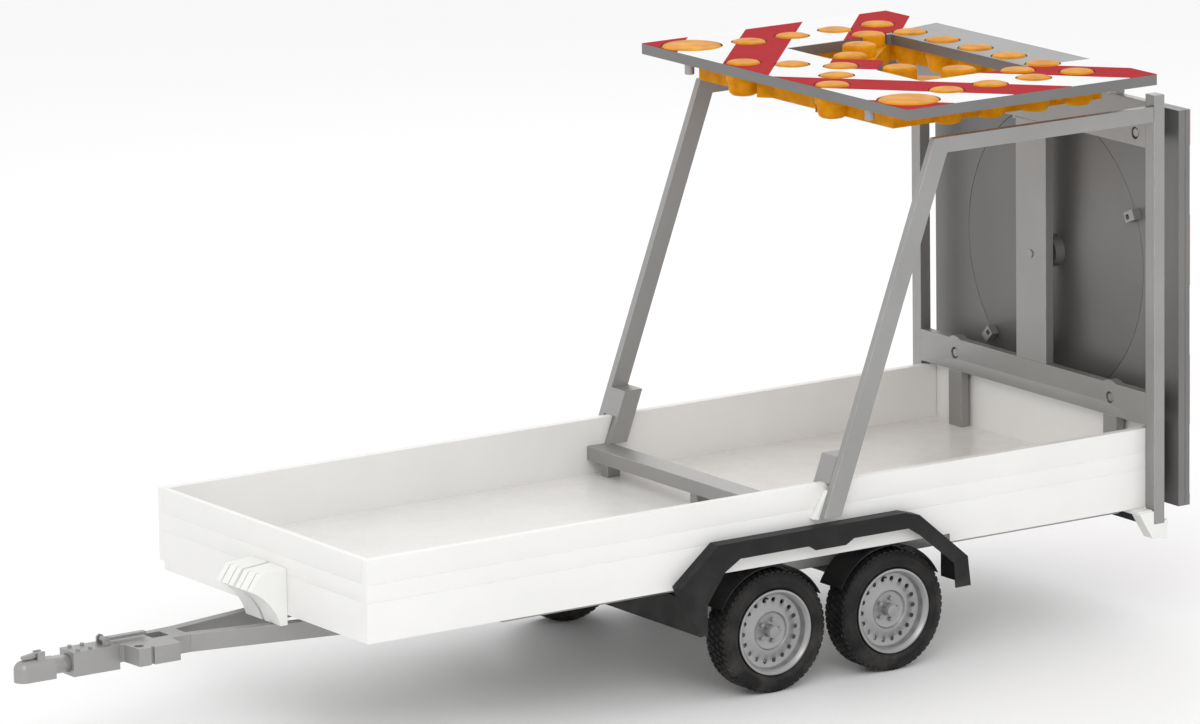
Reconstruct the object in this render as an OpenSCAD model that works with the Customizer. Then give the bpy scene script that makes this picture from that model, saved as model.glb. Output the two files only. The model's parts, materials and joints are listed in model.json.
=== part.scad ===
// Arrow board trailer: tandem-axle flatbed with a folding lamp board and a rear sign panel.
// +X points to the rear, -Y is the trailer's left side, +Z is up, and the ground is z = 0.

/* [Bed] */
// Inside length of the bed, from its front face to the tailgate
bed_l = 4770; // [4200:10:5600]
// Width over the side walls
bed_w = 1940; // [1700:10:2200]
// Height of the bed's underside above the ground
bed_z = 608; // [580:2:720]
// Height of the walls, from the bed's underside
wall_h = 414; // [320:2:520]
// Thickness of the side walls and the tailgate
wall_t = 45; // [30:1:60]
// Thickness of the front wall
front_t = 35; // [25:1:60]
// Height of the floor's top above the bed's underside
floor_h = 130; // [90:1:160]
// Thickness of the floor panel
floor_t = 18; // [12:1:30]

/* [Running gear] */
// Distance from the bed's front to the first axle
axle_x = 2372; // [2000:5:2700]
// Distance between the two axles
axle_gap = 724; // [690:2:850]
// Tyre diameter
tyre_d = 620; // [560:2:680]
// Tyre width
tyre_w = 195; // [155:1:225]
// How far each tyre stands out past the side wall
tyre_out = 38; // [10:1:60]
// Diameter of the rim's outer flange
rim_d = 432; // [380:2:460]
// Diameter of the wheel spindle
spindle_d = 50; // [36:1:60]
// Circle diameter of the wheel bolts
bolt_pcd = 112; // [98:1:130]

/* [Drawbar] */
// Distance from the bed's front to the nose of the coupling
drawbar_reach = 1400; // [1200:10:2000]
// Height of each drawbar arm
draw_h = 90; // [60:1:120]
// Height of the ball socket's centre above the ground
ball_z = 465; // [440:1:480]
// Diameter of the overrun shaft
shaft_d = 50; // [40:1:60]
// Bore of the jockey-wheel clamp
clamp_d = 48.4; // [42:0.1:62]

/* [Support frame] */
// Width of the flat bar used for the struts and arms
strut_w = 100; // [70:1:120]
// Thickness of that bar
strut_t = 40; // [20:1:60]
// Height of the arm's top above the bed's underside
arm_top = 2093; // [1900:1:2300]
// Distance from the bed's front to the strut's foot
strut_x = 2640; // [2300:5:2900]
// Lean of the struts from upright, in degrees
strut_lean = 20.6; // [12:0.2:28]

/* [Rear frame] */
// Width of each post, across the trailer
post_w = 75; // [50:1:100]
// Depth of each post, along the trailer
post_d = 66; // [40:1:90]
// Height of the posts' top above the bed's underside
post_top = 2150; // [1950:1:2400]
// Height of the sign panel
panel_h = 2058; // [1700:2:2200]
// Thickness of the sign panel
panel_t = 72; // [30:1:90]
// Diameter of the turning sign disc
disc_d = 1500; // [1200:2:1700]
// Diameter of the disc's pivot pin
pivot_d = 40; // [25:1:60]

/* [Arrow board] */
// Length of the folded board, along the trailer
board_l = 1550; // [1400:2:1800]
// Width of the board
board_w = 2330; // [2150:2:2600]
// Thickness of the board
board_t = 54; // [30:1:80]
// Height of the board's underside above the bed's underside
board_z = 2231; // [2160:1:2500]
// Diameter of the small lamps
lamp_d = 176; // [120:1:190]
// Diameter of the two large lamps
big_lamp_d = 310; // [240:1:330]
// Diameter of the board's hinge pins
hinge_d = 25; // [16:1:36]

/* [Hidden] */
$fn = 64;

white = "ghostwhite";
steel = "#8f9091";
amber = [0.95, 0.6, 0.08, 0.85];
black = "#1d1d1e";
red = "#b2313a";

clear = 1;              // gap between pieces that are bolted or placed side by side
skin = 4;               // wall thickness of every hollow section
run_fit = 0.05;         // radial gap of every turning or sliding fit

// Heights and spacing that leave room for the tyres
liner_gap = 20;         // from the tyre to the round liner over it
liner_t = 6;
arch_low = 42;          // lower edge of the walls over the wheels, from the underside
bed_low_z = max(bed_z, tyre_d + liner_gap + liner_t + 4 - arch_low);
axle_pitch = max(axle_gap, tyre_d + 2 * liner_gap + 2 * liner_t + 8);

// Bed
half_w = bed_w / 2;
in_w = bed_w - 2 * wall_t;
floor_z = bed_low_z + floor_h;
wall_top = bed_low_z + wall_h;
rail_h = floor_h - floor_t;
rail_w = 60;
rail_in = 73;           // from the tyre's inner side to the rail's middle
rail_y = half_w + tyre_out - tyre_w - rail_in;
right_drop = 44;        // the right wall's lower edge sits this far above the underside
groove_d = 3;

// Rear frame
post_gap = 2;           // posts stand just outside the walls
post_y = half_w + post_gap + post_w / 2;
post_out = half_w + post_gap + post_w;
post_back_gap = 2;
panel_gap = 88;         // from the posts' back to the panel
panel_w = 2 * post_out;
panel_low = -4;         // the panel's lower edge, from the bed's underside
stripe_t = 2;
disc_z = bed_low_z + 1165;
low_bolt_y = half_w - 299;
low_bolt_z = bed_low_z + 522;
top_bolt_y = half_w - 85;
top_bolt_z = bed_low_z + 1935;

// Overall length, which sets the origin at the middle
rear_reach = bed_l + panel_gap + panel_t + stripe_t;
bed_x = (drawbar_reach - rear_reach) / 2;
tail_x = bed_x + bed_l;
post_x = tail_x - post_back_gap - post_d;
panel_x = tail_x + panel_gap;

// Running gear
tyre_r = tyre_d / 2;
wheel_y = half_w + tyre_out - tyre_w / 2;
axle_xs = [bed_x + axle_x, bed_x + axle_x + axle_pitch];
hub_face = wheel_y + 8;         // where the rim's disc bolts to the hub
guard_out = half_w + post_w + 3;
arch_x0 = axle_xs[0] - tyre_r - 60;
arch_x1 = axle_xs[1] + tyre_r + 60;

// Drawbar
draw_top = bed_low_z - 52;
draw_z = draw_top - draw_h;
nose_x = bed_x - drawbar_reach;
ball_x = nose_x + 62;
shaft_z = ball_z + 27;
plate_x0 = bed_x - 850;
plate_x1 = bed_x - 470;
house_x0 = bed_x - 1110;
lug_y = -145;
lug_x = bed_x - 790;

// Support frame
arm_y = half_w + 35 + strut_t / 2;
strut_low = bed_low_z + 250;
strut_foot = bed_x + strut_x;
strut_run = strut_w / cos(strut_lean);
arm_h = 80;
bar_top = bed_low_z + 277;
bar_h = 73;

// Board
board_back = tail_x - 142;      // rear edge of the folded board
board_x = board_back - board_l;
board_low = bed_low_z + board_z;
board_top = board_low + board_t;
sheet_t = 2;
tray_h = 104;
tray_w = board_w - 630;
tray_front = 140;
tray_back = board_l - 110;
tray_band = 170;        // width of the tray's ring
tray_arm_w = 190;       // width of the tray's crossed arms
hinge_x = tail_x - 40;
hinge_z = board_low - 40;
hinge_y = half_w - 270;
hinge_ys = [-hinge_y, 0, hinge_y];
lens_rise = 14;
lens_gap = 6;

// Small lamps: a cross of two diagonals, closed below by a row and at the sides by columns
lamp_edge = board_w / 2 - 304;
lamp_row = board_l - 274;
diag_top = 430;
diag_low = [for (k = [0:4]) [k * lamp_edge / 4, diag_top + k * (lamp_row - diag_top) / 4]];
diag_up = [for (k = [1:2]) [k * 195, diag_top - k * 166]];
side_col = [for (k = [0:2]) [lamp_edge, 462 + k * (lamp_row - 462) / 3]];
row_in = [for (k = [1:2]) [k * lamp_edge / 3, lamp_row]];
half_lamps = concat([for (k = [1:4]) diag_low[k]], diag_up, side_col, row_in);
lamps = concat([[0, diag_top], [0, lamp_row]],
    [for (p = half_lamps) for (s = [-1, 1]) [s * p[0], p[1]]]);
big_lamp_y = board_w / 2 - 215;
big_lamps = [[-big_lamp_y, 164], [big_lamp_y, 164]];

// Chevron stripes: edges of the red bands where they meet the board's front edge
stripe_pitch = 408;
stripe_first = 24;
stripe_rise = 0.89;

module both_sides() {
    children();
    mirror([0, 1, 0]) children();
}

// A block given by its low corner and its size
module block(x, y, z, size) translate([x, y, z]) cube(size);

// A block with a closed hollow inside, t thick all round
module box_section(x, y, z, size, t) difference() {
    block(x, y, z, size);
    block(x + t, y + t, z + t, [size[0] - 2 * t, size[1] - 2 * t, size[2] - 2 * t]);
}

// A rod along Y between two y values
module rod_y(x, y0, y1, z, d) translate([x, y0, z]) rotate([-90, 0, 0]) cylinder(d = d, h = y1 - y0);

// A rod along X between two x values
module rod_x(x0, x1, y, z, d) translate([x0, y, z]) rotate([0, 90, 0]) cylinder(d = d, h = x1 - x0);

// A flat plate drawn in X and Z, standing between two y values
module side_plate(y0, y1) translate([0, y1, 0]) rotate([90, 0, 0]) linear_extrude(y1 - y0) children();

// ---------- bed ----------
module base_rails() color(white) {
    both_sides()
        box_section(bed_x + front_t + rail_w, rail_y - rail_w / 2, bed_low_z,
            [bed_l - front_t - 2 * rail_w, rail_w, rail_h], skin);
    for (x = [bed_x + front_t, tail_x - rail_w])
        box_section(x, -in_w / 2, bed_low_z, [rail_w, in_w, rail_h], skin);
}

module floor_panel() color(white)
    block(bed_x + front_t, -in_w / 2, bed_low_z + rail_h, [bed_l - front_t, in_w, floor_t]);

module front_wall() color(white) difference() {
    block(bed_x, -in_w / 2, bed_low_z, [front_t, in_w, wall_h]);
    block(bed_x + skin + groove_d, -in_w / 2 + skin, bed_low_z + skin,
        [front_t - 2 * skin - groove_d, in_w - 2 * skin, wall_h - 2 * skin]);
    for (z = [200, 290])
        translate([bed_x, 0, bed_low_z + z]) rotate([90, 45, 0])
            cube([groove_d, groove_d, in_w + 2], center = true);
}

// Side wall as an X-Z outline with its lower edge raised over the wheels
module wall_shape(low) polygon([
    [bed_x, bed_low_z + low], [arch_x0, bed_low_z + low], [arch_x0, bed_low_z + arch_low],
    [arch_x1, bed_low_z + arch_low], [arch_x1, bed_low_z + low], [tail_x - post_back_gap, bed_low_z + low],
    [tail_x - post_back_gap, wall_top], [bed_x, wall_top]]);

module side_wall(low) difference() {
    side_plate(-half_w, -half_w + wall_t) wall_shape(low);
    block(bed_x + skin, -half_w + skin + groove_d, bed_low_z + arch_low + skin,
        [bed_l - post_back_gap - 2 * skin, wall_t - 2 * skin - groove_d,
            wall_h - arch_low - 2 * skin]);
    for (z = [200, 290])
        translate([bed_x + bed_l / 2, -half_w, bed_low_z + z]) rotate([45, 0, 0])
            cube([bed_l + 2, groove_d, groove_d], center = true);
}

module left_wall() color(white) side_wall(0);

module right_wall() color(white) mirror([0, 1, 0]) side_wall(right_drop);

module tailgate() color(white)
    box_section(tail_x, -half_w + 12, bed_low_z + 40, [wall_t, bed_w - 24, wall_h - 37], skin);

// ---------- chassis ----------
beam_h = 68;
beam_x0 = bed_x + 900;
module chassis_beams() color(steel) both_sides()
    box_section(beam_x0, rail_y - rail_w / 2, bed_low_z - beam_h,
        [tail_x - 80 - beam_x0, rail_w, beam_h], skin);

module chassis_crossmembers() color(steel)
    for (x = [beam_x0, bed_x + 1480, axle_xs[1] + 480, tail_x - 160])
        box_section(x, -rail_y + rail_w / 2, draw_top,
            [60, 2 * rail_y - rail_w, bed_low_z - draw_top], skin);

// Centre line of a drawbar arm, from the plate to the second cross-member
arm_slope = 0.2;
arm_y0 = 70;
draw_in = 1480;         // how far the arms run back under the bed
module arm_plan(t) {
    run = bed_x + draw_in - plate_x1 - 2 * t;
    translate([plate_x1 + t, arm_y0 + arm_slope * t])
        polygon([[0, t - 25], [run, t - 25 + arm_slope * run],
            [run, 30 - t + arm_slope * run], [0, 30 - t]]);
}

module drawbar_arms() color(steel) both_sides() difference() {
    translate([0, 0, draw_z]) linear_extrude(draw_h) arm_plan(0);
    translate([0, 0, draw_z + 5]) linear_extrude(draw_h - 10) arm_plan(5);
}

plate_half = 100;
module drawbar_plate() color(steel) difference() {
    translate([0, 0, draw_z]) linear_extrude(draw_h) polygon([
        [plate_x0, -70], [plate_x0 + 20, -70], [plate_x0 + 28, -205],
        [plate_x0 + 260, -205], [plate_x0 + 275, -plate_half], [plate_x1, -plate_half],
        [plate_x1, plate_half], [plate_x0 + 100, plate_half - 25], [plate_x0, 70]]);
    // wheel-leg clamp, through the lug on the left
    translate([lug_x, lug_y, draw_z - 1]) cylinder(d = clamp_d, h = draw_h + 2);
    // stake pocket
    block(plate_x0 + 195, -48, draw_z - 1, [96, 96, draw_h + 2]);
    // groove beside the lug
    block(plate_x0 + 95, -206, draw_z - 1, [18, 16, draw_h + 2]);
}

pivot_x = house_x0 + 205;       // handbrake pivot
pivot_z = draw_top + 22;
stroke = 80;            // travel of the overrun shaft
sleeve_d = shaft_d + 40;
house_top = max(shaft_z + 62, draw_z + 60);
sleeve_in = 10;         // how far the coupling's sleeve stands in the housing
module overrun_housing() color(steel) difference() {
    union() {
        block(house_x0, -66, shaft_z - 60, [plate_x0 - house_x0, 132, house_top - shaft_z + 60]);
        for (y = [-36, 24])
            side_plate(y, y + 12) {
                translate([pivot_x, pivot_z]) circle(r = 20);
                translate([pivot_x - 20, house_top - 12]) square([40, pivot_z - house_top + 12]);
            }
        for (x = [40, 110], y = [-40, 40])
            translate([house_x0 + x, y, house_top - 2]) cylinder(d = 24, h = 14, $fn = 6);
    }
    rod_x(house_x0 - 1, plate_x0 - 12, 0, shaft_z, shaft_d + 2 * run_fit);
    rod_x(house_x0 - 1, house_x0 + sleeve_in + stroke + 10, 0, shaft_z, sleeve_d + 2);
    rod_y(pivot_x, -40, 40, pivot_z, 10 + 2 * run_fit);
}

module overrun_shaft() color(steel)
    rod_x(ball_x + 60, plate_x0 - stroke - 20, 0, shaft_z, shaft_d);

// Coupling: a long cap with a round nose and an arched top, with a socket open below
cap_d = shaft_d + 46;
ball_d = 52;            // bore of the socket over the ball
socket_open = 56;
cap_low = ball_z - 30;
cap_back = house_x0 - stroke - 6;
handle_x = ball_x + 74;
handle_z = shaft_z + cap_d / 2 + 22;
module coupling_head() color(steel) difference() {
    union() {
        translate([nose_x + cap_d / 2, 0, cap_low]) cylinder(d = cap_d, h = shaft_z - cap_low);
        translate([nose_x + cap_d / 2, 0, shaft_z]) sphere(d = cap_d);
        rod_x(nose_x + cap_d / 2, cap_back, 0, shaft_z, cap_d);
        block(nose_x + cap_d / 2, -cap_d / 2, cap_low,
            [cap_back - nose_x - cap_d / 2, cap_d, shaft_z - cap_low]);
        rod_x(cap_back - 1, house_x0 + sleeve_in, 0, shaft_z, sleeve_d);
        for (y = [-26, 14])
            block(handle_x - 20, y, shaft_z + 20, [40, 12, handle_z + 12 - shaft_z - 20]);
    }
    translate([ball_x, 0, ball_z - 60]) cylinder(d = socket_open, h = 60);
    translate([ball_x, 0, ball_z]) sphere(d = ball_d);
    rod_x(ball_x + 60, house_x0 + sleeve_in + 1, 0, shaft_z, shaft_d);
    rod_y(handle_x, -40, 40, handle_z, 12 + 2 * run_fit);
}

module coupling_handle() color(steel) {
    rod_y(handle_x, -26, 26, handle_z, 12);
    side_plate(-12, 12) polygon([
        [handle_x - 96, handle_z - 18], [handle_x - 20, handle_z - 16],
        [handle_x + 14, handle_z - 8], [handle_x + 14, handle_z + 8],
        [handle_x - 20, handle_z + 8], [handle_x - 96, handle_z - 4]]);
}

module handbrake_lever() color(steel) {
    rod_y(pivot_x, -35, 35, pivot_z, 10);
    side_plate(-16, 16) {
        translate([pivot_x, pivot_z]) circle(r = 15);
        translate([pivot_x, pivot_z - 8]) square([235, 16]);
    }
}

// ---------- axles and wheels ----------
beam_z = tyre_r + 72;
beam_end = rail_y + rail_w / 2;
module axle_beams() color(black) for (x = axle_xs) {
    difference() {
        rod_y(x + 150, -beam_end, beam_end, beam_z, 96);
        rod_y(x + 150, skin - beam_end, beam_end - skin, beam_z, 84);
    }
    for (s = [-1, 1]) difference() {
        block(x + 90, s * rail_y - rail_w / 2, beam_z + 30,
            [120, rail_w, bed_low_z - beam_h - beam_z - 30]);
        rod_y(x + 150, -beam_end, beam_end, beam_z, 95);
    }
}

// A trailing arm that carries the wheel's spindle
module swing_arm(x) {
    y0 = beam_end + clear;
    hull() {
        rod_y(x + 150, y0, y0 + 28, beam_z, 100, $fn = 32);
        rod_y(x, y0, y0 + 28, tyre_r, 90, $fn = 32);
    }
    rod_y(x, y0 + 10, hub_face + 30, tyre_r, spindle_d);
}

module swing_arms() color(black) for (x = axle_xs) both_sides() swing_arm(x);

bead_step = 13;         // from the rim's outer edge down to the bead seat
disc_in = 76;           // from the tyre's side back to the rear face of the rim's disc
module tyre(x) translate([x, -wheel_y, tyre_r]) rotate([90, 0, 0]) {
    h = tyre_w / 2;
    r = tyre_r;
    b = rim_d / 2 - bead_step;
    w = r - b;
    rotate_extrude($fn = 128) polygon([
        [b, -h + 30], [b + 0.15 * w, -h + 28], [b + 0.28 * w, -h + 10], [r - 0.49 * w, -h],
        [r - 0.34 * w, -h + 2], [r - 0.13 * w, -h + 12], [r - 0.03 * w, -h + 30], [r, 0],
        [r - 0.03 * w, h - 30], [r - 0.13 * w, h - 12], [r - 0.34 * w, h - 2], [r - 0.49 * w, h],
        [b + 0.28 * w, h - 10], [b + 0.15 * w, h - 28], [b, h - 30]]);
    // shoulder lugs
    for (k = [0:2:46], s = [-1, 1])
        rotate([0, 0, k * 7.5 + (s > 0 ? 0 : 7.5)])
            translate([r - 0.28 * w, -9, s > 0 ? h - 30 : -h + 8]) cube([0.22 * w, 18, 22]);
}

vent_count = 18;
vent_d = 24;
vent_r = rim_d / 2 - 58;
bolt_count = 5;
module rim(x) translate([x, -wheel_y, tyre_r]) rotate([90, 0, 0]) {
    h = tyre_w / 2;
    fr = rim_d / 2;
    b = fr - bead_step;
    difference() {
        rotate_extrude($fn = 96) polygon([
            [b, h - 24], [fr, h - 18], [fr, h - 10], [fr - 10, h - 8], [b - 12, h - 26],
            [b - 16, h - 62], [150, h - 66], [118, h - 54], [100, h - 50], [92, h - 62],
            [80, h - 66], [33, h - 66], [33, h - disc_in], [80, h - disc_in], [98, h - 72],
            [112, h - 64], [150, h - 78], [b - 16, h - 74], [b - 16, -h + 40], [b - 6, -h + 22],
            [fr - 8, -h + 12], [fr - 2, -h + 12], [fr - 2, -h + 20], [b, -h + 26]]);
        for (k = [1:vent_count]) rotate([0, 0, k * 360 / vent_count]) translate([vent_r, 0, h - 90])
            cylinder(d = vent_d, h = 40);
        for (k = [1:bolt_count]) rotate([0, 0, k * 360 / bolt_count])
            translate([bolt_pcd / 2, 0, h - 90])
            cylinder(d = 15, h = 40);
    }
}

// Brake drum and hub on the spindle, with five studs and their nuts
drum_d = 250;
flange_d = 160;
spigot_d = 65;
stud_d = 14;
nut_d = 24;
module hub(x) translate([x, -wheel_y, tyre_r]) rotate([90, 0, 0]) {
    h = tyre_w / 2;
    f = h - disc_in;
    difference() {
        union() {
            translate([0, 0, f - 26]) cylinder(d = flange_d, h = 26);
            translate([0, 0, f - 70]) cylinder(d = drum_d, h = 46);
            translate([0, 0, f - 4]) cylinder(d = spigot_d, h = 52);
            translate([0, 0, f + 40]) cylinder(d = spigot_d - 7, h = 16);
            for (k = [1:bolt_count]) rotate([0, 0, k * 360 / bolt_count]) translate([bolt_pcd / 2, 0, 0]) {
                translate([0, 0, f - 4]) cylinder(d = stud_d, h = 30);
                translate([0, 0, f + 10]) cylinder(d = nut_d, h = 14, $fn = 6);
            }
        }
        translate([0, 0, f - 71]) cylinder(d = spindle_d + 2 * run_fit, h = 110);
    }
}

module left_front_tyre() color(black) tyre(axle_xs[0]);
module left_rear_tyre() color(black) tyre(axle_xs[1]);
module right_front_tyre() color(black) mirror([0, 1, 0]) tyre(axle_xs[0]);
module right_rear_tyre() color(black) mirror([0, 1, 0]) tyre(axle_xs[1]);
module left_front_rim() color("silver") rim(axle_xs[0]);
module left_rear_rim() color("silver") rim(axle_xs[1]);
module right_front_rim() color("silver") mirror([0, 1, 0]) rim(axle_xs[0]);
module right_rear_rim() color("silver") mirror([0, 1, 0]) rim(axle_xs[1]);
module left_front_hub() color("silver") hub(axle_xs[0]);
module left_rear_hub() color("silver") hub(axle_xs[1]);
module right_front_hub() color("silver") mirror([0, 1, 0]) hub(axle_xs[0]);
module right_rear_hub() color("silver") mirror([0, 1, 0]) hub(axle_xs[1]);

// Tandem mudguard: outline above the wheels, skirt, top and end flaps
guard_top = bed_low_z + 212;
guard_low = bed_low_z - 238;
module guard_outline() polygon([
    [axle_xs[0] - 488, guard_low], [axle_xs[0] - 600, bed_low_z + 22],
    [axle_xs[0] - 370, guard_top], [axle_xs[1] + 40, guard_top],
    [axle_xs[1] + 130, guard_top - 24], [axle_xs[1] + 426, bed_low_z - 66],
    [axle_xs[1] + 444, bed_low_z - 220]]);

module guard_inside() polygon([
    [axle_xs[0] - 480, guard_low - 1], [axle_xs[0] - 590, bed_low_z + 20],
    [axle_xs[0] - 364, guard_top - 8], [axle_xs[1] + 38, guard_top - 8],
    [axle_xs[1] + 125, guard_top - 33], [axle_xs[1] + 418, bed_low_z - 70],
    [axle_xs[1] + 436, bed_low_z - 221]]);

module skirt_cut() polygon([
    [axle_xs[0] - 440, guard_low - 1], [axle_xs[0] - 440, bed_low_z - 80],
    [axle_xs[0] - 330, bed_low_z + 70], [axle_xs[0] - 240, guard_top - 88],
    [axle_xs[0] + 175, guard_top - 86], [axle_xs[0] + 215, guard_top - 112],
    [axle_xs[0] + 400, guard_top - 112], [axle_xs[0] + 450, guard_top - 84],
    [axle_xs[1] + 60, guard_top - 84], [axle_xs[1] + 130, guard_top - 128],
    [axle_xs[1] + 340, bed_low_z - 90], [axle_xs[1] + 350, bed_low_z - 222]]);

module mudguard() {
    shell_y = -half_w - clear;
    difference() {
        side_plate(-guard_out, shell_y) guard_outline();
        side_plate(-guard_out + 8, shell_y + 1) guard_inside();
        side_plate(-guard_out - 1, shell_y + 1) skirt_cut();
    }
}

// Round liner over one wheel, hung from the wall's lower edge
module liner(x) {
    y0 = -half_w + 4;
    y1 = -rail_y - rail_w / 2 - 10;
    difference() {
        rod_y(x, y0, y1, tyre_r, tyre_d + 2 * (liner_gap + liner_t));
        rod_y(x, y0 - 1, y1 + 1, tyre_r, tyre_d + 2 * liner_gap);
        block(x - tyre_d, y0 - 1, -tyre_r, [2 * tyre_d, y1 - y0 + 2, tyre_d + 150]);
    }
    block(x - 60, y0, 2 * tyre_r + liner_gap + 4,
        [120, wall_t - 10, bed_low_z + arch_low - 2 * tyre_r - liner_gap - 4]);
}

module mudguards() color(black) {
    both_sides() mudguard();
    both_sides() for (x = axle_xs) liner(x);
    both_sides() block(axle_xs[1] + 436, -half_w, bed_low_z - 220, [8, 170, 154]);
    // spray apron across the front of the wheels
    block(axle_xs[0] - 486, -half_w, guard_low, [8, bed_w, 166]);
}

// ---------- wheel chocks on the front wall ----------
chock_w = 150;
chock_ys = [-165, 10];
module chock_holder() color(white) for (y = chock_ys) {
    block(bed_x - 14, y - 40, bed_low_z + 60, [13.7, 80, 16]);
    block(bed_x - 20, y - 40, bed_low_z + 60, [6, 80, 40]);
}

// Wedge with a hollow curved face and a slot at the back that hooks on the holder
module chock(y) difference() {
    side_plate(y - chock_w / 2, y + chock_w / 2) difference() {
        polygon([[bed_x - 1, bed_low_z - 50], [bed_x - 45, bed_low_z - 50], [bed_x - 60, bed_low_z - 20],
            [bed_x - 215, bed_low_z + 130], [bed_x - 150, bed_low_z + 222], [bed_x - 1, bed_low_z + 236]]);
        translate([bed_x - 330, bed_low_z - 130]) circle(r = 300);
    }
    block(bed_x - 22, y - 42, bed_low_z + 58, [22, 84, 44]);
    block(bed_x - 26, y - 42, bed_low_z - 60, [26, 84, 119]);
    for (s = [-1, 1])
        block(bed_x - 400, y + s * 32 - 5, bed_low_z + 20, [270, 10, 240]);
}

module left_chock() color(white) chock(chock_ys[0]);
module right_chock() color(white) chock(chock_ys[1]);

// ---------- support frame ----------
module cross_bar() color(steel) {
    x = strut_foot - 100;
    box_section(x, -in_w / 2 + clear, bar_top - bar_h, [140, in_w - 2 * clear, bar_h], skin);
    for (y = [85 - in_w / 2, -30, in_w / 2 - 145])
        block(x + 30, y, floor_z, [80, 60, bar_top - bar_h - floor_z]);
}

// Sloping X-Z strip of the strut's width between two heights
function strut_at(z) = strut_foot + (z - strut_low) * tan(strut_lean);
module strut_strip(z0, z1, t = 0) polygon([
    [strut_at(z0) + t, z0], [strut_at(z0) + strut_run - t, z0],
    [strut_at(z1) + strut_run - t, z1], [strut_at(z1) + t, z1]]);

hook_top = bed_low_z + 545;
module hook_frames() color(steel) both_sides() {
    side_plate(half_w - wall_t - 50, half_w - wall_t - 4) strut_strip(bar_top, hook_top);
    side_plate(half_w - wall_t - 50, arm_y - strut_t / 2)
        strut_strip(wall_top + clear, hook_top);
}

module support_arms() color(steel) both_sides() {
    elbow_x = strut_at(bed_low_z + arm_top) + 20;
    difference() {
        side_plate(arm_y - strut_t / 2, arm_y + strut_t / 2) {
            strut_strip(strut_low, bed_low_z + arm_top);
            translate([elbow_x, bed_low_z + arm_top - arm_h]) square([post_x - elbow_x, arm_h]);
        }
        side_plate(arm_y - strut_t / 2 + skin, arm_y + strut_t / 2 - skin) {
            strut_strip(strut_low + skin, bed_low_z + arm_top - skin, skin + 2);
            translate([elbow_x, bed_low_z + arm_top - arm_h + skin])
                square([post_x - elbow_x - skin, arm_h - 2 * skin]);
        }
    }
}

// ---------- rear frame ----------
post_low = bed_low_z - 75;
module posts() color(steel) both_sides()
    box_section(post_x, post_y - post_w / 2, post_low,
        [post_d, post_w, post_top + bed_low_z - post_low], skin);

plate_d = 50;
leg_w = 112;
low_bar_z = bed_low_z + 430;
low_bar_h = 170;
centre_w = 256;
module frame_legs() color(steel) both_sides()
    box_section(post_x, low_bolt_y - leg_w / 2, floor_z,
        [plate_d, leg_w, low_bar_z - floor_z], skin);

// Round pad around a bolt hole
module bolt_pad(y, z, r) translate([post_x, y, z]) rotate([0, 90, 0]) cylinder(r = r, h = plate_d);

bolt_places = [for (s = [-1, 1], p = [[low_bolt_y, low_bolt_z], [top_bolt_y, top_bolt_z]])
    [s * p[0], p[1]]];
frame_bolt_d = 30;
head_d = 48;
pocket_d = 62;
boss_d = 84;
pocket = 20;            // depth of the round pocket that holds a bolt's head
module bolt_holes() for (p = bolt_places) {
    rod_x(post_x - 1, post_x + plate_d + 1, p[0], p[1], frame_bolt_d + 1);
    rod_x(post_x - 1, post_x + pocket, p[0], p[1], pocket_d);
}

frame_half = half_w + post_gap;
module lower_crossmember() color(steel) difference() {
    union() {
        block(post_x, -frame_half, low_bar_z, [plate_d, 2 * frame_half, low_bar_h]);
        for (s = [-1, 1]) bolt_pad(s * low_bolt_y, low_bolt_z, 92);
    }
    bolt_holes();
    for (y = [[-frame_half + skin, -low_bolt_y - 50], [-low_bolt_y + 50, low_bolt_y - 50],
            [low_bolt_y + 50, frame_half - skin]])
        block(post_x + skin, y[0], low_bar_z + skin,
            [plate_d - 2 * skin, y[1] - y[0], low_bar_h - 2 * skin]);
}

upper_low = bed_low_z + 1870;
upper_h = 240;
module upper_crossmember() color(steel) difference() {
    block(post_x, -frame_half, upper_low, [plate_d, 2 * frame_half, upper_h]);
    bolt_holes();
    block(post_x + skin, -top_bolt_y + 50, upper_low + skin,
        [plate_d - 2 * skin, 2 * top_bolt_y - 100, upper_h - 2 * skin]);
}

module centre_member() color(steel) {
    low = low_bar_z + low_bar_h;
    mid = disc_z - 90;
    difference() {
        block(post_x, -centre_w / 2, low, [plate_d, centre_w, upper_low - low]);
        rod_x(post_x - 1, post_x + plate_d + 1, 0, disc_z, pivot_d);
        block(post_x + skin, skin - centre_w / 2, low + skin,
            [plate_d - 2 * skin, centre_w - 2 * skin, mid - low - skin]);
        block(post_x + skin, skin - centre_w / 2, disc_z + 90,
            [plate_d - 2 * skin, centre_w - 2 * skin, upper_low - disc_z - 90 - skin]);
    }
}

// Bolts from the cross-members into the bosses
module frame_bolts() color("dimgray") for (p = bolt_places) {
    rod_x(post_x + pocket - 14, post_x + pocket, p[0], p[1], head_d, $fn = 6);
    rod_x(post_x + pocket - 1, panel_x - 6, p[0], p[1], frame_bolt_d);
}

module spacer_bosses() color(steel) for (p = bolt_places) difference() {
    rod_x(post_x + plate_d, panel_x, p[0], p[1], boss_d);
    rod_x(post_x + plate_d - 1, panel_x - 6, p[0], p[1], frame_bolt_d + 0.2);
}

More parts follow.
